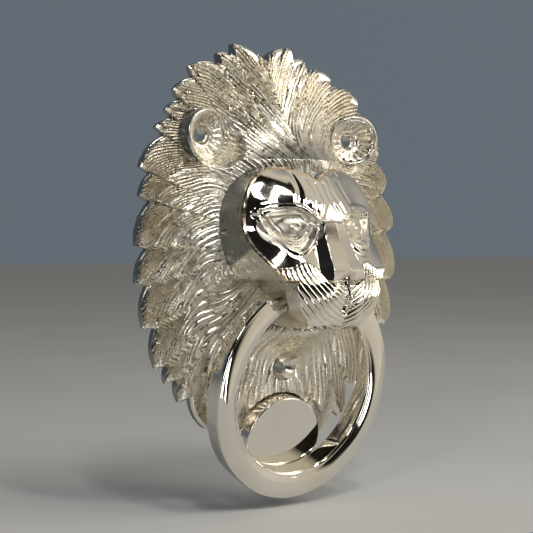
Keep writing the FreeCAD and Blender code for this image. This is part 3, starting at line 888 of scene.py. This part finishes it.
def build_ring():
    outer, inner = ring_edge(OUTER_SIDE, RING_SECTIONS), ring_edge(INNER_SIDE, RING_SECTIONS)
    points = []
    for (ox, oz), (ix, iz) in zip(outer, inner):
        share = min(max(-oz / RING_FULL_DEPTH_AT, 0.0), 1.0)
        depth = RING_END_DEPTH + (RING_DEPTH - RING_END_DEPTH) * share
        crown = RING_END_CROWN + RING_CROWN_GROWTH * share
        width = math.hypot(ox - ix, oz - iz)
        section = ring_profile(width, depth, crown, 0.9 + 0.5 * share, 0.8)
        place = section[:, 0] / width + 0.5
        x = ix + (ox - ix) * place
        z = iz + (oz - iz) * place
        points.append(ring_point(x, z, RING_EDGE + section[:, 1]))
    size = len(points[0])
    faces = grid_faces(RING_SECTIONS, size)
    faces.append(tuple(range(size))[::-1])
    faces.append(tuple((RING_SECTIONS - 1) * size + k for k in range(size)))
    ring = outward(make_piece("ring_forging", np.concatenate(points), faces, HANDLED, 40))
    bores = [turned("bore", (side * (OUTER_SIDE[0][0] - 1), PIVOT_REACH, PIVOT_Z), (side, 0, 0),
                    ((2.0, 0), (2.0, PIN_TIP_X - OUTER_SIDE[0][0] + 1)), HANDLED) for side in (-1, 1)]
    carve(ring, bores, "DIFFERENCE")
    return ring


# ---- the striker ---------------------------------------------------------------------------
STRIKER_R = 20.3
STRIKER_EDGE = 0.7                   # rounding of the striker's rim


def build_striker():
    """A tilted round stud, parallel to the resting ring, with a barely domed mirror face."""
    back = RING_EDGE - RING_DEPTH - REST_GAP
    along_plane = (STRIKER_Z - PIVOT_Z + back * math.sin(RING_LEAN)) / math.cos(RING_LEAN)
    centre = ring_point(np.array(0.0), along_plane, back)
    looks = np.array((0, math.cos(RING_LEAN), -math.sin(RING_LEAN)))
    side, up = np.array((1.0, 0, 0)), np.array((0, math.sin(RING_LEAN), math.cos(RING_LEAN)))
    columns = 300
    turn = np.linspace(0, 2 * math.pi, columns, endpoint=False)
    ring = np.cos(turn)[:, None] * side + np.sin(turn)[:, None] * up
    rows = []
    for radius in np.linspace(0.6, STRIKER_R - STRIKER_EDGE, 40):
        rows.append(centre + ring * radius - looks * (0.25 * (radius / STRIKER_R) ** 2))
    for a in np.linspace(0, math.pi / 2, 7)[1:]:
        out = STRIKER_R - STRIKER_EDGE + STRIKER_EDGE * math.sin(a)
        rows.append(centre + ring * out - looks * (0.24 + STRIKER_EDGE * (1 - math.cos(a))))
    edge = rows[-1]
    drop = (edge[:, 1] - SLAB) / looks[1]
    for part in np.linspace(0, 1, 8)[1:]:
        rows.append(edge - drop[:, None] * looks * part)
    base = rows[-1]
    rows.append(centre * (0, 0, 1) + (0, SLAB, 0) + (base - base.mean(axis=0)) * (0.3, 0, 0.3))
    points = np.concatenate(rows)
    faces = grid_faces(len(rows), columns)
    faces.append(tuple(range(columns))[::-1])
    faces.append(tuple((len(rows) - 1) * columns + k for k in range(columns)))
    return outward(make_piece("striker_disc", points, faces, HANDLED))


# ---- floor, light and camera ---------------------------------------------------------------
def build_floor():
    low = cad_box[0]
    mesh = bpy.data.meshes.new("floor")
    far = 4.0
    front = -0.12                    # the floor ends just in front of the knocker
    level = low.z - 0.004
    mesh.from_pydata([(-far, front, level), (far, front, level), (far, far, level), (-far, far, level)], [],
                     [(0, 1, 2, 3)])
    floor = bpy.data.objects.new("floor", mesh)
    bpy.context.scene.collection.objects.link(floor)
    material, nodes, links = new_material("pale_floor")
    shader = nodes["Principled BSDF"]
    shader.inputs["Roughness"].default_value = 0.7
    tone = ramp(nodes, links, noise(nodes, links, 6, 3),
                [(0.3, (0.66, 0.66, 0.65)), (0.7, (0.70, 0.70, 0.69))])
    links.new(tone, shader.inputs["Base Color"])
    mesh.materials.append(material)


def build_world():
    """A studio all round: slate behind, dark to the front left, a broad warm wall to the front right."""
    world = bpy.data.worlds.new("studio")
    bpy.context.scene.world = world
    world.use_nodes = True
    nodes, links = world.node_tree.nodes, world.node_tree.links
    coordinates = nodes.new("ShaderNodeTexCoord")
    around = nodes.new("ShaderNodeTexGradient")
    around.gradient_type = "RADIAL"
    links.new(coordinates.outputs["Generated"], around.inputs["Vector"])
    # the radial gradient is 0.25 towards -Y, the front, and grows towards +X, the right
    colour = ramp(nodes, links, around.outputs["Fac"], [
        (0.00, (0.016, 0.015, 0.015)), (0.17, (0.010, 0.009, 0.008)),
        (0.265, (0.012, 0.010, 0.008)), (0.30, (0.56, 0.51, 0.42)), (0.42, (0.66, 0.61, 0.53)),
        (0.52, (0.42, 0.40, 0.36)), (0.60, (0.13, 0.155, 0.18)), (0.87, (0.11, 0.135, 0.16)),
        (0.93, (0.03, 0.035, 0.04)), (0.97, (0.016, 0.015, 0.015))])
    links.new(colour, nodes["Background"].inputs["Color"])
    nodes["Background"].inputs["Strength"].default_value = 1.0


def area_light(name, azimuth, elevation, far, size, power, colour=(1, 1, 1), aim=(0, -0.03, -0.055)):
    """A soft box; azimuth 0 is in front of the door and grows to the right."""
    a, e = math.radians(azimuth), math.radians(elevation)
    way = Vector((math.sin(a) * math.cos(e), -math.cos(a) * math.cos(e), math.sin(e)))
    light = bpy.data.lights.new(name, "AREA")
    light.shape = "RECTANGLE"
    light.size, light.size_y = size
    light.energy = power
    light.color = colour
    lamp = bpy.data.objects.new(name, light)
    lamp.location = Vector(aim) + way * far
    lamp.rotation_mode = "QUATERNION"
    lamp.rotation_quaternion = way.to_track_quat("Z", "Y")
    bpy.context.scene.collection.objects.link(lamp)


def build_lights():
    area_light("top_pane_left", -20, 52, 1.2, (0.10, 0.44), 2.6, (1, 0.98, 0.95))
    area_light("top_pane_right", 6, 52, 1.2, (0.10, 0.44), 2.6, (1, 0.98, 0.95))
    area_light("strip_low", -14, -24, 1.2, (0.09, 0.50), 1.6)
    area_light("side_high", -52, 20, 1.3, (0.12, 0.26), 1.8)
    area_light("right_soft", 48, 30, 1.4, (0.7, 0.7), 5.0, (1, 0.93, 0.82))


def build_camera():
    """Looks from the left front, a little above the horizontal, as a person beside the door does."""
    turn, rise, far = math.radians(34.5), math.radians(0.7), 0.639
    way = Vector((-math.sin(turn) * math.cos(rise), -math.cos(turn) * math.cos(rise), math.sin(rise)))
    data = bpy.data.cameras.new("camera")
    data.sensor_width = 36
    data.lens = 92.2
    data.shift_x = -0.0272
    data.shift_y = -0.0403
    data.clip_start = 0.01
    camera = bpy.data.objects.new("camera", data)
    camera.location = Vector((0, -0.010, -0.050)) + way * far
    camera.rotation_mode = "QUATERNION"
    camera.rotation_quaternion = way.to_track_quat("Z", "Y")
    bpy.context.scene.collection.objects.link(camera)
    bpy.context.scene.camera = camera


# ---- putting it together -------------------------------------------------------------------
build_camera()
build_floor()
build_world()
build_lights()

for cad_name, material in (("mask_screws", SCREW_STEEL), ("striker_screw", SCREW_STEEL),
                           ("pivot_pins", PIN_STEEL)):
    slots = frame["nodes"][cad_name].material_slots
    for cad_slot in slots:
        cad_slot.material = material

for piece, body, cad_name, finish in (
        (build_mane(), "root", "mane_plate", "cast_nickel"),
        (build_face(), "root", "face_mask", "polished_nickel"),
        (build_ring(), "ring", "knocker_ring", "polished_nickel"),
        (build_striker(), "root", "striker_stud", "polished_nickel")):
    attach(piece, body)
    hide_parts(cad_name)

bpy.context.scene.view_settings.view_transform = "Standard"
